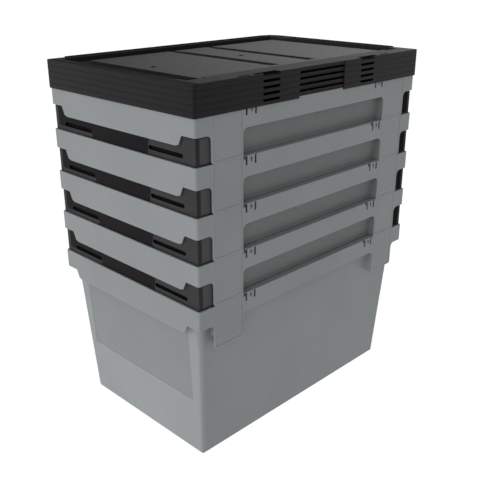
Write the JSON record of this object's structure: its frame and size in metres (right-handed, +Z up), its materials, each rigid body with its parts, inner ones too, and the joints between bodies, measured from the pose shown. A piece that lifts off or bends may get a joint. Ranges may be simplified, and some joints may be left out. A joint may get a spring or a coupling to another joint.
{
  "type": "stack and nest tote",
  "caption": "Nested stack-and-nest totes with hollow side posts, hinged carrying bars on the short ends and loose lids stacked on top",
  "frame": {"origin": "centre of the footprint, on the floor under the lowest tote", "axes": "+X along the long side, +Y across the short side away from the lids' slotted edge, +Z up"},
  "size_m": [0.605, 0.405, 0.6978],
  "materials": {
    "tote_grey": "fine moulded texture, mid grey",
    "bar_black": "satin moulded black",
    "lid_black": "satin moulded black, slight sheen on the panel"
  },
  "bodies": {
    "tote_1": {"tote_1": "tote_grey"},
    "bar_1_left": {"bar_1_left": "bar_black"},
    "bar_1_right": {"bar_1_right": "bar_black"},
    "tote_2": {"tote_2": "tote_grey"},
    "bar_2_left": {"bar_2_left": "bar_black"},
    "bar_2_right": {"bar_2_right": "bar_black"},
    "tote_3": {"tote_3": "tote_grey"},
    "bar_3_left": {"bar_3_left": "bar_black"},
    "bar_3_right": {"bar_3_right": "bar_black"},
    "tote_4": {"tote_4": "tote_grey"},
    "bar_4_left": {"bar_4_left": "bar_black"},
    "bar_4_right": {"bar_4_right": "bar_black"},
    "tote_5": {"tote_5": "tote_grey"},
    "bar_5_left": {"bar_5_left": "bar_black"},
    "bar_5_right": {"bar_5_right": "bar_black"},
    "lid_1": {"lid_1": "lid_black"},
    "lid_2": {"lid_2": "lid_black"},
    "lid_3": {"lid_3": "lid_black"},
    "lid_4": {"lid_4": "lid_black"},
    "lid_5": {"lid_5": "lid_black"}
  },
  "joints": [
    {"name": "tote_2_lift", "type": "slide", "parent": "tote_1", "child": "tote_2", "axis": [0, 0, 1], "range_m": [0, 0.24]},
    {"name": "tote_3_lift", "type": "slide", "parent": "tote_2", "child": "tote_3", "axis": [0, 0, 1], "range_m": [0, 0.24]},
    {"name": "tote_4_lift", "type": "slide", "parent": "tote_3", "child": "tote_4", "axis": [0, 0, 1], "range_m": [0, 0.24]},
    {"name": "tote_5_lift", "type": "slide", "parent": "tote_4", "child": "tote_5", "axis": [0, 0, 1], "range_m": [0, 0.24]},
    {"name": "bar_1_left_swing", "type": "hinge", "parent": "tote_1", "child": "bar_1_left", "pos_m": [-0.261, 0, 0.312], "axis": [0, 1, 0], "range_deg": [0, 2]},
    {"name": "bar_1_right_swing", "type": "hinge", "parent": "tote_1", "child": "bar_1_right", "pos_m": [0.261, 0, 0.312], "axis": [0, -1, 0], "range_deg": [0, 2]},
    {"name": "bar_2_left_swing", "type": "hinge", "parent": "tote_2", "child": "bar_2_left", "pos_m": [-0.261, 0, 0.3945], "axis": [0, 1, 0], "range_deg": [0, 2]},
    {"name": "bar_2_right_swing", "type": "hinge", "parent": "tote_2", "child": "bar_2_right", "pos_m": [0.261, 0, 0.3945], "axis": [0, -1, 0], "range_deg": [0, 2]},
    {"name": "bar_3_left_swing", "type": "hinge", "parent": "tote_3", "child": "bar_3_left", "pos_m": [-0.261, 0, 0.477], "axis": [0, 1, 0], "range_deg": [0, 2]},
    {"name": "bar_3_right_swing", "type": "hinge", "parent": "tote_3", "child": "bar_3_right", "pos_m": [0.261, 0, 0.477], "axis": [0, -1, 0], "range_deg": [0, 2]},
    {"name": "bar_4_left_swing", "type": "hinge", "parent": "tote_4", "child": "bar_4_left", "pos_m": [-0.261, 0, 0.5595], "axis": [0, 1, 0], "range_deg": [0, 2]},
    {"name": "bar_4_right_swing", "type": "hinge", "parent": "tote_4", "child": "bar_4_right", "pos_m": [0.261, 0, 0.5595], "axis": [0, -1, 0], "range_deg": [0, 2]},
    {"name": "bar_5_left_swing", "type": "hinge", "parent": "tote_5", "child": "bar_5_left", "pos_m": [-0.261, 0, 0.642], "axis": [0, -1, 0], "range_deg": [0, 15]},
    {"name": "bar_5_right_swing", "type": "hinge", "parent": "tote_5", "child": "bar_5_right", "pos_m": [0.261, 0, 0.642], "axis": [0, 1, 0], "range_deg": [0, 15]},
    {"name": "lid_1_lift", "type": "slide", "parent": "tote_5", "child": "lid_1", "axis": [0, 0, 1], "range_m": [0, 0.12]},
    {"name": "lid_2_lift", "type": "slide", "parent": "lid_1", "child": "lid_2", "axis": [0, 0, 1], "range_m": [0, 0.12]},
    {"name": "lid_3_lift", "type": "slide", "parent": "lid_2", "child": "lid_3", "axis": [0, 0, 1], "range_m": [0, 0.12]},
    {"name": "lid_4_lift", "type": "slide", "parent": "lid_3", "child": "lid_4", "axis": [0, 0, 1], "range_m": [0, 0.12]},
    {"name": "lid_5_lift", "type": "slide", "parent": "lid_4", "child": "lid_5", "axis": [0, 0, 1], "range_m": [0, 0.12]}
  ]
}
